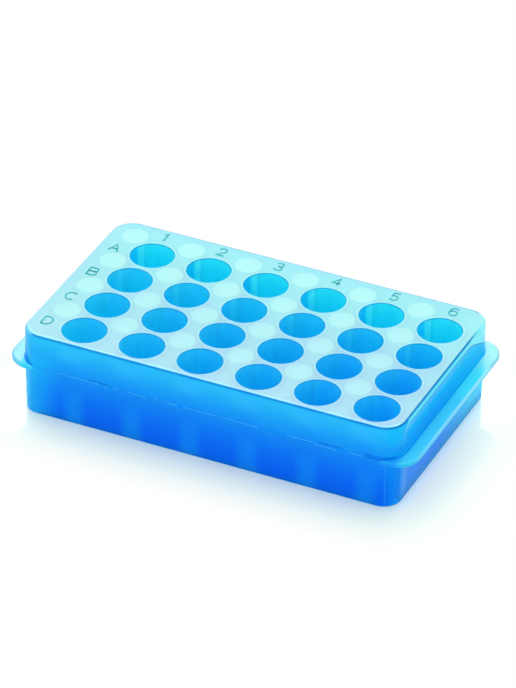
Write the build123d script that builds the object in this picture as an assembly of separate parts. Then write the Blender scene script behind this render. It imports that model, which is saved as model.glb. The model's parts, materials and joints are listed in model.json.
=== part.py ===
from build123d import *
from math import radians, tan
import os

# Reversible rack for microcentrifuge tubes, moulded in one piece from polypropylene.
# Millimetres, +Z up. X runs along the columns 1 to 6 and +Y runs to the back row, A.
# The origin is under the middle of the flange, on the surface that the rack stands on.

# Wells for 1.5 and 2.0 mL tubes, open at the top.
columns = 6
rows = 4
column_pitch = 15.4
well_bore = 11.0
well_web = 1.5  # plastic left between the wells of neighbouring rows
well_wall = 1.1
well_floor = 1.2  # thickness of the closed bottom
well_mouth_round = 0.3

# Sockets for 0.2 mL tubes, open underneath, for when the rack is turned over.
socket_bore = 6.6
socket_wall = 1.0
socket_lead_in = 0.3  # chamfer at the mouth

# The box around them.
height = 22.3
deck = 1.2  # top plate
skirt = 1.4  # side walls
foot_clearance = 1.0  # wells and sockets stop this far above the foot of the skirt
margin_left = 14.35  # from the outer wells' centres out to the walls, at the flange
margin_right = 8.7
margin_front = 7.7
margin_back = 12.4
corner = 5.6  # in plan, at the flange
foot_corner = 4.6  # in plan, at the foot
upper_draft = 0.6  # degrees, all round, narrowing towards the deck
lower_end_draft = 2.6  # degrees, narrowing towards the foot
lower_side_draft = 0.8
deck_round = 0.7
foot_round = 0.3

# The flange, which stands out as a tab at each end.
flange_top = 13.6
flange_thick = 1.4
tab_reach = 3.6
flange_back_reach = 1.0
flange_front_reach = 0.15
tab_corner = 6.0
flange_round = 0.4

row_pitch = well_bore + well_web
inner_length = (columns - 1) * column_pitch
inner_width = (rows - 1) * row_pitch
box_length = margin_left + inner_length + margin_right
box_width = margin_front + inner_width + margin_back
flange_length = box_length + 2 * tab_reach
flange_width = box_width + flange_front_reach + flange_back_reach
box_y = (flange_front_reach - flange_back_reach) / 2  # the box's middle, from the flange's
first_x = margin_left - box_length / 2
first_y = box_y + box_width / 2 - margin_back
deck_under = height - deck
well_bottom = foot_clearance + well_floor

well_places = [
    (first_x + column * column_pitch, first_y - row * row_pitch)
    for row in range(rows)
    for column in range(columns)
]
# each socket sits half a pitch to the left of a well and half a pitch behind it
socket_places = [(x - column_pitch / 2, y + row_pitch / 2) for x, y in well_places]


def plan_at(z, inset):
    """The box's rounded outline at a level, moved in by inset from the outside of the walls."""
    if z >= flange_top:
        drawn_in = (z - flange_top) * tan(radians(upper_draft))
        ends, sides, radius = drawn_in, drawn_in, corner - drawn_in
    else:
        drop = flange_top - z
        ends = drop * tan(radians(lower_end_draft))
        sides = drop * tan(radians(lower_side_draft))
        radius = corner + (foot_corner - corner) * drop / flange_top
    length = box_length - 2 * (ends + inset)
    width = box_width - 2 * (sides + inset)
    return Pos(0, box_y, z) * RectangleRounded(length, width, radius - inset)


def block(low, high, inset=0.0):
    """The space inside the walls between two levels, one below the flange and one above it."""
    lower = loft([plan_at(low, inset), plan_at(flange_top, inset)], ruled=True)
    upper = loft([plan_at(flange_top, inset), plan_at(high, inset)], ruled=True)
    return lower + upper


def rods(places, radius, low, high):
    """Upright round rods, one at each place."""
    standing = (Align.CENTER, Align.CENTER, Align.MIN)
    return [Pos(x, y, low) * Cylinder(radius, high - low, align=standing) for x, y in places]


def make_flange():
    plan = RectangleRounded(flange_length, flange_width, tab_corner)
    plate = extrude(Pos(0, 0, flange_top - flange_thick) * plan, flange_thick)
    rims = plate.faces().sort_by(Axis.Z)
    return fillet(rims[0].edges() + rims[-1].edges(), flange_round)


def make_skirt_and_deck():
    outside = block(0, height)
    outside = fillet(outside.faces().sort_by(Axis.Z)[-1].edges(), deck_round)
    outside = fillet(outside.faces().sort_by(Axis.Z)[0].edges(), foot_round)
    return outside + make_flange() - block(0, deck_under, skirt)


def make_tube_walls():
    """The walls of the wells and sockets, which run into the skirt where they reach it."""
    top = deck_under + deck / 2
    walls = rods(well_places, well_bore / 2 + well_wall, foot_clearance, top)
    walls += rods(socket_places, socket_bore / 2 + socket_wall, foot_clearance, top)
    return (Part() + walls) & block(foot_clearance / 2, top, skirt / 2)


def mouths(part, radius, level):
    """The round edges of one radius that lie at one level."""
    circles = part.edges().filter_by(GeomType.CIRCLE).filter_by_position(Axis.Z, level, level)
    return [edge for edge in circles if abs(edge.radius - radius) < 1e-4]


def make_rack():
    rack = make_skirt_and_deck() + make_tube_walls()
    rack -= rods(well_places, well_bore / 2, well_bottom, height + deck)
    rack -= rods(socket_places, socket_bore / 2, 0, deck_under)
    rack = fillet(mouths(rack, well_bore / 2, height), well_mouth_round)
    return chamfer(mouths(rack, socket_bore / 2, foot_clearance), socket_lead_in)


os.makedirs("parts", exist_ok=True)
export_step(make_rack(), "parts/tube_rack.step")
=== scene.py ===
import json
import math
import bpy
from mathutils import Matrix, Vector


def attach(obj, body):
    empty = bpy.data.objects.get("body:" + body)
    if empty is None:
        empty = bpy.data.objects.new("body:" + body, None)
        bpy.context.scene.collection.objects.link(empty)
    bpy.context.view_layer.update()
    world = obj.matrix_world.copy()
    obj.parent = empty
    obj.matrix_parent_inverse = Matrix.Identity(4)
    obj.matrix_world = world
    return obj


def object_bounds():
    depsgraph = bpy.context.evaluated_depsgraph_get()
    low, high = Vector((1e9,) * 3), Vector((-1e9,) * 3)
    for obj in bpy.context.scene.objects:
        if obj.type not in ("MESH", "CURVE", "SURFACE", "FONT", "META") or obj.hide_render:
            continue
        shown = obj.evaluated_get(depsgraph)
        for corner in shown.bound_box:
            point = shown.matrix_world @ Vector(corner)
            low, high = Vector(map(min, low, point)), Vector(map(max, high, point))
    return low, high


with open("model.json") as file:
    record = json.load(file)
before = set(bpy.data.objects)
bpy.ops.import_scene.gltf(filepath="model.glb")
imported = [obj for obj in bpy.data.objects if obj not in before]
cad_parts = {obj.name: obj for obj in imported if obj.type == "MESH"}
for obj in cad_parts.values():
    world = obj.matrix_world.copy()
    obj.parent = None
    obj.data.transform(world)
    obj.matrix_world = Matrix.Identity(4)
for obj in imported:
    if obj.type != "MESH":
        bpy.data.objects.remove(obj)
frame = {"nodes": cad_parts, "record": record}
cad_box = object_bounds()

from types import SimpleNamespace

import bpy
from mathutils import Matrix, Vector

# Reversible rack for microcentrifuge tubes. Metres, +Z up, +X from column 1 to column 6,
# +Y from the front row D to the back row A.
MM = 0.001
RACK = "tube_rack"

# The rack's sizes, in millimetres. Both places are the middle of a mouth, and the small socket is
# the one beside well A1.
MOUNTS = {mount["name"]: mount for mount in frame["record"]["mounts"]}
WELL_A1 = [place / MM for place in MOUNTS["tube_well"]["pos_m"]]
SOCKET_A1 = [place / MM for place in MOUNTS["small_socket"]["pos_m"]]
WELL_RADIUS = MOUNTS["tube_well"]["dims"]["r_mm"]
SOCKET_RADIUS = MOUNTS["small_socket"]["dims"]["r_mm"]
COLUMNS = 6
ROWS = 4
# each socket sits half a pitch to the left of a well and half a pitch behind it
COLUMN_PITCH = 2 * (WELL_A1[0] - SOCKET_A1[0])
ROW_PITCH = 2 * (SOCKET_A1[1] - WELL_A1[1])
LAST_X = WELL_A1[0] + (COLUMNS - 1) * COLUMN_PITCH
LAST_Y = WELL_A1[1] - (ROWS - 1) * ROW_PITCH

# The flange is the widest part, and the walls stand back from its edge by its reaches.
FLANGE_X, FLANGE_Y, HEIGHT = (size / MM for size in cad_box[1])
FLANGE_TOP = 13.6
FLANGE_THICK = 1.4
FLANGE_CORNER = 6.0
TAB_REACH = 3.6
FRONT_REACH = 0.15
BACK_REACH = 1.0
WALL_X = FLANGE_X - TAB_REACH
FRONT_Y = FRONT_REACH - FLANGE_Y
BACK_Y = FLANGE_Y - BACK_REACH
CORNER = 5.6


def linear(hex_colour):
    """An sRGB colour, written as RRGGBB, as a linear colour with alpha."""
    values = [int(hex_colour[i:i + 2], 16) / 255 for i in (0, 2, 4)]
    return tuple(v / 12.92 if v <= 0.04045 else ((v + 0.055) / 1.055) ** 2.4 for v in values) + (1.0,)


def add(tree, kind, inputs=(), stops=(), **settings):
    """Adds a node with its settings. Inputs are values, hex colours or links, by name or in the
    sockets' order, and stops are a colour ramp's places and hex colours."""
    node = tree.nodes.new(kind)
    for name, value in settings.items():
        setattr(node, name, value)
    named = isinstance(inputs, dict)
    sockets = node.inputs if named else [socket for socket in node.inputs if socket.enabled]
    for place, value in inputs.items() if named else enumerate(inputs):
        if isinstance(value, bpy.types.NodeSocket):
            tree.links.new(value, sockets[place])
        else:
            sockets[place].default_value = linear(value) if isinstance(value, str) else value
    for place, colour in stops:
        element = node.color_ramp.elements.new(place)
        element.color = linear(colour)
    if stops:
        node.color_ramp.elements.remove(node.color_ramp.elements[0])
        node.color_ramp.elements.remove(node.color_ramp.elements[-1])
    made = [socket for socket in node.outputs if socket.enabled]
    return made[0] if len(made) == 1 else node.outputs


def new_tree(name):
    material = bpy.data.materials.new(name)
    material.use_nodes = True
    material.node_tree.nodes.clear()
    return material, material.node_tree


def millimetres(tree):
    """The place of a spot along X, Y and Z, in mm from the rack's origin."""
    place = add(tree, "ShaderNodeTexCoord")["Object"]
    place = add(tree, "ShaderNodeVectorMath", [place, 1 / MM], operation="SCALE")
    return add(tree, "ShaderNodeSeparateXYZ", [place])


def off_hole(tree, x, y, first):
    """How far to the right and how far in all a spot is from the nearest of a grid of holes, in mm."""
    beside = []
    for value, start, pitch in ((x, first[0], COLUMN_PITCH), (y, first[1], ROW_PITCH)):
        value = add(tree, "ShaderNodeMath", [value, start], operation="SUBTRACT")
        beside.append(add(tree, "ShaderNodeMath", [value, pitch / 2, -pitch / 2], operation="WRAP"))
    flat = add(tree, "ShaderNodeCombineXYZ", beside)
    return beside[0], add(tree, "ShaderNodeVectorMath", [flat], operation="LENGTH")


def outside(tree, x, y, half_length, front, back, corner):
    """How far a spot is outside a rounded rectangle's outline, in mm, and less than 0 inside it."""
    beyond = []
    for value, middle, half in ((x, 0, half_length), (y, (front + back) / 2, (back - front) / 2)):
        value = add(tree, "ShaderNodeMath", [value, middle], operation="SUBTRACT")
        value = add(tree, "ShaderNodeMath", [value], operation="ABSOLUTE")
        value = add(tree, "ShaderNodeMath", [value, half - corner], operation="SUBTRACT")
        beyond.append(add(tree, "ShaderNodeMath", [value, 0], operation="MAXIMUM"))
    flat = add(tree, "ShaderNodeCombineXYZ", beyond)
    out = add(tree, "ShaderNodeVectorMath", [flat], operation="LENGTH")
    return add(tree, "ShaderNodeMath", [out, corner], operation="SUBTRACT")


def product(tree, shares):
    """Some shares, as numbers or links, multiplied together."""
    whole = shares[0]
    for share in shares[1:]:
        whole = add(tree, "ShaderNodeMath", [whole, share], operation="MULTIPLY")
    return whole


def between(tree, value, low, high, fade):
    """A share that is 1 between two limits and fades to 0 outside them. None leaves an end open."""
    ramps = []
    if low is not None:
        ramps.append([value, low - fade, low, 0, 1])
    if high is not None:
        ramps.append([value, high, high + fade, 1, 0])
    return product(tree, [add(tree, "ShaderNodeMapRange", ramp, interpolation_type="SMOOTHSTEP")
                          for ramp in ramps])


def paint(tree, colour, coats):
    """A colour under some coats. Each coat is a colour and the shares whose product says where and
    how strongly it covers what is under it."""
    for over, *shares in coats:
        colour = add(tree, "ShaderNodeMix", [product(tree, shares), colour, over], data_type="RGBA")
    return colour


def plastic(tree, colour):
    """Glossy see-through polypropylene. Half of the light that meets a face crosses it, scattered or
    almost straight, and is tinted by the root of the colour, as it has a second face to cross.
    Polypropylene's index is 1.49. The skin's is set lower and its gloss is tinted, so that gloss at
    grazing angles doesn't wash out the blue, and the inner one is set close to 1, so that little
    light is lost between the faces."""
    skin = add(tree, "ShaderNodeBsdfPrincipled", {
        "Base Color": colour, "Roughness": 0.12, "IOR": 1.38, "Specular Tint": "60c0ff"})
    if isinstance(colour, str):
        crossing = [math.sqrt(channel) for channel in linear(colour)]
    else:
        crossing = add(tree, "ShaderNodeGamma", [colour, 0.5])
    scattered = add(tree, "ShaderNodeBsdfTranslucent", {"Color": crossing})
    straight = add(tree, "ShaderNodeBsdfRefraction", {"Color": crossing, "Roughness": 0.25, "IOR": 1.04})
    inner = add(tree, "ShaderNodeMixShader", [0.7, scattered, straight])
    surface = add(tree, "ShaderNodeMixShader", [0.5, skin, inner])
    add(tree, "ShaderNodeOutputMaterial", {"Surface": surface})


def find_spot(tree):
    """Where a spot of the rack's surface is, in mm and as a share of the height, and what it is near."""
    x, y, z = millimetres(tree)
    from_well_x, from_well = off_hole(tree, x, y, WELL_A1)
    _, from_socket = off_hole(tree, x, y, SOCKET_A1)
    return SimpleNamespace(
        x=x,
        y=y,
        z=z,
        level=add(tree, "ShaderNodeMath", [z, HEIGHT], operation="DIVIDE"),
        from_well_x=from_well_x,
        from_well=from_well,
        from_socket=from_socket,
        among_columns=between(tree, x, SOCKET_A1[0], LAST_X + COLUMN_PITCH / 2, 0.1),
        among_rows=between(tree, y, LAST_Y - WELL_RADIUS, SOCKET_A1[1], 0.1),
        off_walls=outside(tree, x, y, WALL_X, FRONT_Y, BACK_Y, CORNER),
        off_flange=outside(tree, x, y, FLANGE_X, -FLANGE_Y, FLANGE_Y, FLANGE_CORNER),
        right=between(tree, x, WALL_X - 2.5, None, 1.5),
        left=between(tree, x, None, -WALL_X, 1),
    )


def wall_colour(tree, spot):
    """Deep blue low down and cyan higher up, a painted shade for the light that fades as it sinks through
    the plastic. Here and below, limits along X, Y and Z are in mm, and so are the widths over which a coat
    fades."""
    x, y, z, from_well_x = spot.x, spot.y, spot.z, spot.from_well_x
    depths = [(0.0, "0063ff"), (0.35, "067eff"), (0.6, "169fff"), (0.95, "2ec8ff")]
    walls = add(tree, "ShaderNodeValToRGB", [spot.level], depths)["Color"]
    below = between(tree, z, None, FLANGE_TOP - FLANGE_THICK, 0.2)
    above = between(tree, z, FLANGE_TOP, None, 0.1)
    end = between(tree, x, WALL_X - 1, None, 3.5)
    front = between(tree, y, None, -25, 1)
    right = spot.right

    # the light from the wells is painted in as lighter bands low down and lighter spots under the deck
    walls = paint(tree, walls, [
        ("18b4ff", between(tree, from_well_x, 0.3, 1.2, 3.6), between(tree, z, 2.0, 7.0, 4.5), 0.42),
        ("48dcff", between(tree, from_well_x, -1.0, 1.0, 4.0),
         between(tree, z, HEIGHT - 3.3, HEIGHT - 2.3, 2.5), 0.35),
    ])

    # the wells stand farther from the left end, which is painted paler, with a painted glow along its edge.
    # The right end is painted clearer towards the back, as light from behind comes through, with painted
    # shade at its foot and a painted highlight stripe on each side of its front corner
    clearer = add(tree, "ShaderNodeMapRange", [y, -6, 27, 0, 0.95], interpolation_type="SMOOTHSTEP")
    walls = paint(tree, walls, [
        ("28d8ff", between(tree, x, None, -48, 11), between(tree, z, None, 15, 3), 0.5),
        ("70e8ff", between(tree, x, None, -49, 2.5), 0.4),
        ("00acff", end, below, 0.5),
        ("48ecff", end, below, clearer),
        ("10d8ff", end, above, add(tree, "ShaderNodeMapRange", [y, -10, 26, 0, 0.4])),
        ("00c8ff", end, between(tree, z, HEIGHT - 3.3, None, 3), 0.8),
        ("70d0ff", end, below, between(tree, y, -24.5, -23, 1.5), between(tree, z, 4, None, 4), 0.4),
        ("58c8ff", between(tree, x, 46.8, 46.9, 0.15), front, below, 0.25),
        ("0088ff", end, between(tree, z, None, 1.5, 2.5), 0.5),
    ])

    # the back is painted clearer, so that more of the light from behind comes through it into the back row
    # of wells
    walls = paint(tree, walls, [("20e8ff", between(tree, y, BACK_Y - 1, None, 0.5), 0.35)])

    # a painted dark line of shade follows the deck's edge, and is a painted pale highlight at the left end
    edge, left_edge = (between(tree, z, HEIGHT - width, None, 0.1) for width in (0.28, 0.4))
    walls = paint(tree, walls, [
        ("1898e0", edge, between(tree, x, -45.5, None, 3)),
        ("80e4ff", left_edge, between(tree, x, None, -47, 1.5), 0.9),
        ("d0f0f0", left_edge, between(tree, x, None, -49.5, 0.5), 0.9),
    ])

    # at the right end, painted highlight and shade lines run under the edge and drop towards the flange at
    # both corners
    front_drop = add(tree, "ShaderNodeMapRange", [y, -28.5, -21.5, 6.9, 0], interpolation_type="SMOOTHSTEP")
    back_drop = add(tree, "ShaderNodeMapRange", [y, 13, 28, 0, 5.1], interpolation_type="SMOOTHSTEP")
    swept = add(tree, "ShaderNodeMath", [z, front_drop])
    swept = add(tree, "ShaderNodeMath", [swept, back_drop])
    highlight_line = between(tree, swept, HEIGHT - 1.2, HEIGHT - 0.1, 0.12)
    clear_corner = between(tree, swept, HEIGHT - 1.2, None, 0.12)
    shade_line = between(tree, swept, HEIGHT - 1.55, HEIGHT - 1.4, 0.12)
    thin_edge = between(tree, z, HEIGHT - 0.22, None, 0.04)
    walls = paint(tree, walls, [
        ("74fcff", highlight_line, right, between(tree, y, -22.5, None, 2)),
        ("a0ffff", clear_corner, right, between(tree, y, 14, None, 6)),
        ("0078b8", shade_line, right, 0.7),
        ("0084c0", thin_edge, right, between(tree, y, None, 14, 8)),
    ])

    # the shade where the walls meet the flange, which climbs the left corner as a wedge
    slant = add(tree, "ShaderNodeMath", [x, 1.35, z], operation="MULTIPLY_ADD")
    wedge = between(tree, slant, None, -48.8, 0.5)
    left_corner = product(tree, [between(tree, x, None, -45.6, 1.6), between(tree, y, None, -26.5, 7)])
    right_shade = between(tree, z, FLANGE_TOP, FLANGE_TOP + 0.8, 1.0)
    front_shade = between(tree, z, FLANGE_TOP, FLANGE_TOP + 0.5, 0.6)
    walls = paint(tree, walls, [
        ("10c4ff", right_shade, right, 0.6),
        ("0078f0", wedge, left_corner, above, 0.75),
        ("0070e8", front_shade, between(tree, x, 43, 48, 2), front, 0.7),
    ])

    # a painted line of light, as from the paper, runs along the foot, and the shade of two dents just above
    # the flange is painted as darker spots
    foot = between(tree, z, None, 0.25, 0.15)
    dent_height = between(tree, z, FLANGE_TOP + 0.15, FLANGE_TOP + 0.4, 0.12)
    parting = product(tree, [dent_height, between(tree, y, None, -28, 1)])
    dent_length = 4.5
    dents = [("0060c8", between(tree, x, start, start + dent_length, 1), parting, 0.6)
             for start in (-30.5, 30.5)]
    return paint(tree, walls, [("28c0ff", foot, 0.7), *dents])


def well_colour(tree, spot):
    """Cyan, painted deeper to the right and clear in row A, at the back, where the light from behind comes
    in. Each well there has a painted upright highlight streak with a painted dark edge of shade, and each
    in row B a faint one."""
    from_well_x = spot.from_well_x
    front_of_a, front_of_b = (WELL_A1[1] - rows * ROW_PITCH for rows in (0.5, 1.5))
    row_a = between(tree, spot.y, front_of_a, BACK_Y, 0.1)
    row_b = between(tree, spot.y, front_of_b, front_of_a, 0.1)
    streaked = add(tree, "ShaderNodeMath", [row_b, 0.3, row_a], operation="MULTIPLY_ADD")
    streak = product(tree, [between(tree, from_well_x, -4.4, None, 0.8),
                            between(tree, from_well_x, None, -4.1, 0.2)])
    wells = add(tree, "ShaderNodeValToRGB", [spot.level], [(0.7, "30f0ff"), (0.95, "34e0ff")])["Color"]
    return paint(tree, wells, [
        ("18c3ff", add(tree, "ShaderNodeMapRange", [spot.x, -40, 50, 0, 0.5])),
        ("34faff", row_a),
        ("10c4ff", between(tree, from_well_x, None, -5.2, 0.3), streaked, 0.8),
        ("60ffff", streak, streaked, 0.95),
        ("20d8f0", between(tree, from_well_x, -3.9, -3.7, 0.3), streaked, 0.3),
    ])


def deck_colour(tree, spot):
    """Pale, with the closed ends of the sockets as paler discs, painted where light comes up through them,
    a painted highlight rim and a painted dark lip of shade round each well, and a painted highlight rim
    along the front."""
    x, y, from_well = spot.x, spot.y, spot.from_well
    forward = add(tree, "ShaderNodeMapRange", [y, BACK_Y, FRONT_Y, 0, 1])
    disc = between(tree, spot.from_socket, None, SOCKET_RADIUS - 0.1, 0.3)
    rim = between(tree, from_well, WELL_RADIUS + 0.25, WELL_RADIUS + 0.45, 0.1)
    lip = between(tree, from_well, None, WELL_RADIUS + 0.05, 0.06)
    front_highlight = between(tree, spot.off_walls, -1.37, -0.72, 0.15)
    return paint(tree, "b2e8de", [
        ("cae6e0", forward),
        ("d0f4e4", disc, between(tree, x, -WALL_X, LAST_X, 0.1), between(tree, y, LAST_Y, BACK_Y, 0.1)),
        ("c8fcf4", rim, spot.among_columns, spot.among_rows),
        ("00a0e0", lip, spot.among_columns, spot.among_rows),
        ("ccfeff", front_highlight, between(tree, y, None, -26, 2)),
    ])


def flange_colour(tree, spot):
    """Clear cyan, painted paler at the left end and towards the back, where light comes through, with a
    painted shade on its side and a bluer front right. The tabs' edges carry painted shade at the left, a
    painted highlight at the right and grey at the back tip."""
    y, z, off_flange, left, right = spot.y, spot.z, spot.off_flange, spot.left, spot.right
    side = between(tree, z, None, FLANGE_TOP - 0.5, 0.2)
    left_side = between(tree, z, None, FLANGE_TOP - 0.15, 0.1)
    left_tip = between(tree, spot.off_walls, 3.18, None, 0.1)
    left_outline = between(tree, off_flange, -0.4, None, 0.1)
    top_edge = between(tree, z, FLANGE_TOP - 0.6, None, 0.1)
    highlight = between(tree, off_flange, -0.4, None, 0.16)
    shine = add(tree, "ShaderNodeMapRange", [y, -24, 12, 0.25, 0.85])
    back_outline = between(tree, off_flange, -0.32, None, 0.1)
    return paint(tree, "58f4ff", [
        ("5cffff", between(tree, y, 8, None, 8)),
        ("c0fff0", between(tree, y, 23, None, 9)),
        ("c8fff0", left),
        ("20bcf8", side, 0.6),
        ("20bcf0", left_tip, left_side, left, 0.6),
        ("20bcf0", left_outline, between(tree, y, None, -22, 3), left, 0.6),
        ("c8ffff", top_edge, highlight, between(tree, y, -24, None, 3), right, shine),
        ("70c8d0", back_outline, right, between(tree, y, 20, None, 3), 0.5),
        ("18a8ff", between(tree, y, None, -26.5, 2), between(tree, spot.x, 0, 49, 2), 0.8),
    ])


def polypropylene():
    """Clear blue polypropylene from a polished mould: light soaks through it, so it looks deep blue low
    down, cyan higher up and pale on top. That depth of colour, the highlight streaks and the bright and
    dark edge lines are painted light and shade, set by place on the rack, and stay where they are when the
    light changes."""
    material, tree = new_tree("blue_clarified_polypropylene")
    spot = find_spot(tree)
    in_well = between(tree, spot.from_well, None, WELL_RADIUS + 0.1, 0.1)
    on_top = between(tree, spot.z, HEIGHT - 0.28, None, 0.06)
    # what no coat covers, such as the outsides of the tubes, only takes some red out of the light
    body = paint(tree, "a0ffff", [
        (wall_colour(tree, spot), between(tree, spot.off_walls, -1.15, None, 0.05)),
        (well_colour(tree, spot), in_well, spot.among_columns, spot.among_rows),
        (deck_colour(tree, spot), on_top, between(tree, spot.off_walls, None, -0.74, 0.08)),
        (flange_colour(tree, spot), between(tree, spot.off_walls, 0.4, None, 0.2)),
    ])
    plastic(tree, body)
    return material


def plain_polypropylene(name, colour):
    """The same plastic in one colour, for a small piece."""
    material, tree = new_tree(name)
    plastic(tree, colour)
    return material


def floor_paper():
    """Smooth white background paper. Near the rack it takes the shadow and has a slight sheen, and
    farther out, and partly beside the right end, it is lit by itself to a plain white."""
    material, tree = new_tree("studio_paper")
    x, y, _ = millimetres(tree)
    off = outside(tree, x, y, WALL_X, FRONT_Y, BACK_Y, CORNER)
    lit = add(tree, "ShaderNodeMapRange", [off, 0, 18, 0, 1])
    bright_side = product(tree, [between(tree, x, WALL_X + 1, None, 3), 0.46])
    lit = add(tree, "ShaderNodeMath", [lit, bright_side], operation="MAXIMUM")
    # that white shows directly, in gloss and through the plastic, and isn't there for all other light
    path = add(tree, "ShaderNodeLightPath")
    in_gloss = product(tree, [path["Is Glossy Ray"], 0.1])
    white_share = add(tree, "ShaderNodeMath", [lit, in_gloss], operation="MAXIMUM")
    seen = add(tree, "ShaderNodeMath", [path["Is Camera Ray"], path["Is Glossy Ray"]], operation="MAXIMUM")
    seen = add(tree, "ShaderNodeMath", [seen, path["Is Transmission Ray"]], operation="MAXIMUM")
    white_share = product(tree, [white_share, seen])
    # the paper is faintly green, which evens out the blue light from the rack; beside the right end it is
    # painted bluer, a painted tint of the light that comes through the plastic, and it is nearly white
    # under the rack
    paper_colour = paint(tree, "ecffec", [
        ("d4fffa", between(tree, x, WALL_X, None, 1), between(tree, off, None, 0.8, 2.5)),
        ("f8ffff", between(tree, off, None, -3, 2)),
    ])
    paper = add(tree, "ShaderNodeBsdfDiffuse", {"Color": paper_colour})
    white = add(tree, "ShaderNodeEmission", {"Color": "ffffff", "Strength": 1.0})
    plain = add(tree, "ShaderNodeMixShader", [white_share, paper, white])
    sheen = add(tree, "ShaderNodeBsdfAnisotropic", {"Color": "ffffff", "Roughness": 0.08})
    sheen_share = add(tree, "ShaderNodeMapRange", [off, 0, 12, 0.1, 0])
    surface = add(tree, "ShaderNodeMixShader", [sheen_share, plain, sheen])
    add(tree, "ShaderNodeOutputMaterial", {"Surface": surface})
    return material


def new_piece(name, mesh, material):
    piece = bpy.data.objects.new(name, mesh)
    bpy.context.scene.collection.objects.link(piece)
    mesh.materials.append(material)
    return piece


def arc(centre_x, centre_y, radius_x, radius_y, start, end, steps=10):
    """Points along part of an ellipse, with the angles in degrees from +X."""
    angles = [math.radians(start + (end - start) * step / steps) for step in range(steps + 1)]
    return [(centre_x + radius_x * math.cos(a), centre_y + radius_y * math.sin(a)) for a in angles]


# The strokes of each index mark, in a box about 1 wide and 1 high.
STROKES = {
    "A": [[(0, 0), (0.5, 1), (1, 0)], [(0.18, 0.34), (0.82, 0.34)]],
    "B": [[(0, 0), (0, 1), (0.6, 1)] + arc(0.6, 0.76, 0.34, 0.24, 90, -90) + [(0, 0.52)],
          [(0.6, 0.52)] + arc(0.64, 0.26, 0.36, 0.26, 90, -90) + [(0, 0)]],
    "C": [arc(0.55, 0.5, 0.55, 0.5, 48, 312, 16)],
    "D": [[(0, 0), (0, 1), (0.4, 1)] + arc(0.45, 0.5, 0.55, 0.5, 90, -90, 14) + [(0, 0)]],
    "1": [[(0.2, 0.78), (0.58, 1), (0.58, 0)]],
    "2": [arc(0.5, 0.72, 0.46, 0.28, 165, -30) + [(0, 0), (1, 0)]],
    "3": [arc(0.46, 0.75, 0.44, 0.25, 150, -90) + arc(0.46, 0.26, 0.5, 0.26, 90, -150)],
    "4": [[(0.74, 0), (0.74, 1), (0, 0.3), (1, 0.3)]],
    "5": [[(0.92, 1), (0.18, 1), (0.08, 0.52)] + arc(0.45, 0.32, 0.5, 0.32, 130, -145)],
    "6": [arc(0.52, 0.6, 0.5, 0.4, 40, 190) + arc(0.5, 0.31, 0.48, 0.31, 180, -180, 16)],
}


def ribbon(line, thick, low, high):
    """The points and faces of a raised line of even width with mitred bends, through (x, y) points."""
    points, faces = [], []
    for i, (x, y) in enumerate(line):
        before = Vector(line[i]) - Vector(line[max(i - 1, 0)])
        after = Vector(line[min(i + 1, len(line) - 1)]) - Vector(line[i])
        before, after = (before or after).normalized(), (after or before).normalized()
        along = (before + after).normalized()
        mitre = min(1 / max(along.dot(after), 0.5), 1.6) * thick / 2
        aside = Vector((-along.y, along.x)) * mitre
        points += [Vector((x + way * aside.x, y + way * aside.y, z)) * MM
                   for way, z in ((-1, low), (1, low), (1, high), (-1, high))]
        if i:
            a, b = 4 * i - 4, 4 * i
            faces += [(a + k, a + (k + 1) % 4, b + (k + 1) % 4, b + k) for k in range(4)]
    return points, faces + [(3, 2, 1, 0), tuple(len(points) - 4 + k for k in range(4))]


def ribbon_mesh(name, lines, thick, low, high):
    points, faces = [], []
    for line in lines:
        more, sides = ribbon(line, thick, low, high)
        faces += [tuple(len(points) + k for k in side) for side in sides]
        points += more
    mesh = bpy.data.meshes.new(name)
    mesh.from_pydata(points, [], faces)
    return mesh


def make_marks():
    """Letters beside the rows and numbers behind the columns, raised a little from the deck, where
    they show darker than its pale face."""
    stroke, sunk, raised = 0.32, 0.02, 0.1
    mark_height = 3.2
    letter_width, letter_pitch = 2.4, 12.3
    number_width, number_pitch = 2.1, 15.5
    letters_x, letter_a_y = WELL_A1[0] - 9.8, WELL_A1[1] - 0.7
    number_1_x, numbers_y = WELL_A1[0] - 0.65, WELL_A1[1] + 8.9
    places = [(letter, letter_width, letters_x, letter_a_y - row * letter_pitch)
              for row, letter in enumerate("ABCD")]
    places += [(number, number_width, number_1_x + column * number_pitch, numbers_y)
               for column, number in enumerate("123456")]
    strokes = []
    for mark, width, x, y in places:
        for line in STROKES[mark]:
            strokes.append([(x + (u - 0.5) * width, y + (v - 0.5) * mark_height) for u, v in line])
    mesh = ribbon_mesh("index_marks", strokes, stroke, HEIGHT - sunk, HEIGHT + raised)
    marks = new_piece("index_marks", mesh, plain_polypropylene("raised_marks_polypropylene", "28bcc0"))
    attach(marks, "root")


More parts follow.
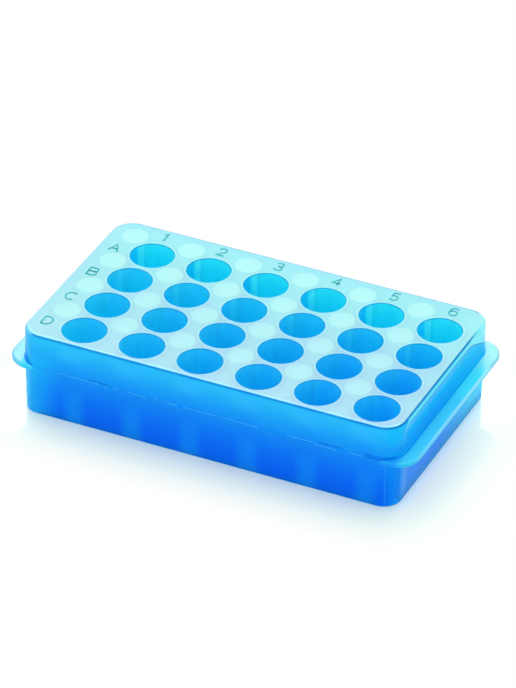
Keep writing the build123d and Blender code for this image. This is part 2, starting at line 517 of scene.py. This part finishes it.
def make_flash():
    """The broken thread of flash that the mould's parting line leaves along the front of the flange, with a
    nick by each dent. Its colour is lighter than the wall, a painted highlight where the thin thread
    catches the light. The lines are set from the plane of the flange's front, so those at its top, where
    its edge is rounded, stand up to 0.08 mm clear of it."""
    thick, sunk, proud = 0.15, 0.055, 0.045
    # each thread runs straight from an x and z to another
    threads = [(-42.2, 13.62, -27.7, 13.58), (-26.7, 13.0, -25.8, 13.4), (-24.4, 13.65, -22.6, 13.6),
               (-20.4, 13.6, -15.4, 13.55), (-13.4, 13.6, -12.4, 13.6), (-11.4, 13.6, -7.1, 13.58),
               (-5.4, 13.58, 2.2, 13.58), (2.4, 13.65, 3.4, 13.65), (4.2, 13.6, 14.2, 13.6),
               (21.6, 13.6, 28.4, 13.6), (28.5, 13.6, 29.4, 13.2), (29.4, 13.2, 34.5, 13.1),
               (37.5, 13.5, 41.5, 13.4)]
    lines = [[(x0, z0), (x1, z1)] for x0, z0, x1, z1 in threads]
    mesh = ribbon_mesh("parting_flash", lines, thick, -sunk, proud)
    flash = new_piece("parting_flash", mesh, plain_polypropylene("parting_flash_polypropylene", "50d4ff"))
    # the lines were drawn flat, and are stood up along the plane of the flange's front
    for vertex in flash.data.vertices:
        x, z, out = vertex.co
        vertex.co = (x, -FLANGE_Y * MM - out, z)
    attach(flash, "root")


def make_floor():
    side = 3.0
    corners = [(-side, -side, 0), (side, -side, 0), (side, side, 0), (-side, side, 0)]
    mesh = bpy.data.meshes.new("floor")
    mesh.from_pydata([Vector(c) for c in corners], [], [(0, 1, 2, 3)])
    new_piece("floor", mesh, floor_paper())


def make_world():
    world = bpy.data.worlds.new("studio")
    bpy.context.scene.world = world
    world.use_nodes = True
    back = world.node_tree.nodes["Background"]
    back.inputs["Color"].default_value = linear("ffffff")
    back.inputs["Strength"].default_value = 1.05


def make_camera():
    azimuth, elevation, roll = (math.radians(a) for a in (24.36, 33.16, 0.915))
    distance = 1.3158
    aim = Vector((-2.6, 6.8, 11.15)) * MM
    back = Vector((
        math.cos(elevation) * math.sin(azimuth),
        -math.cos(elevation) * math.cos(azimuth),
        math.sin(elevation),
    ))
    camera = bpy.data.objects.new("camera", bpy.data.cameras.new("camera"))
    bpy.context.scene.collection.objects.link(camera)
    camera.matrix_world = Matrix.Translation(aim + back * distance) @ (
        back.to_track_quat("Z", "Y").to_matrix().to_4x4() @ Matrix.Rotation(roll, 4, "Z")
    )
    camera.data.lens = 282.6
    camera.data.sensor_width = 36
    camera.data.clip_end = 20
    bpy.context.scene.camera = camera


def make_softbox(name, towards, distance, length, height, glow):
    """A large rectangular lamp that faces the rack. glow is how bright its face is, where 1 is white."""
    lamp = bpy.data.lights.new(name, "AREA")
    lamp.shape = "RECTANGLE"
    lamp.size = length
    lamp.size_y = height
    lamp.energy = glow * math.pi * length * height
    light = bpy.data.objects.new(name, lamp)
    bpy.context.scene.collection.objects.link(light)
    place = Vector(towards).normalized() * distance
    light.matrix_world = Matrix.Translation(place) @ place.to_track_quat("Z", "Y").to_matrix().to_4x4()


make_camera()
make_world()
make_softbox("softbox_behind", towards=(-0.35, 0.76, 0.55), distance=1.5, length=1.6, height=0.8, glow=3.0)
make_floor()
rack = frame["nodes"][RACK]
rack.data.materials.clear()
rack.data.materials.append(polypropylene())
make_marks()
make_flash()

scene = bpy.context.scene
scene.view_settings.view_transform = "Standard"
# the plastic passes light on through many surfaces, and little of it may be lost on the way
scene.cycles.blur_glossy = 0
scene.cycles.max_bounces = 48
scene.cycles.diffuse_bounces = 32
scene.cycles.glossy_bounces = 16
scene.cycles.transmission_bounces = 32
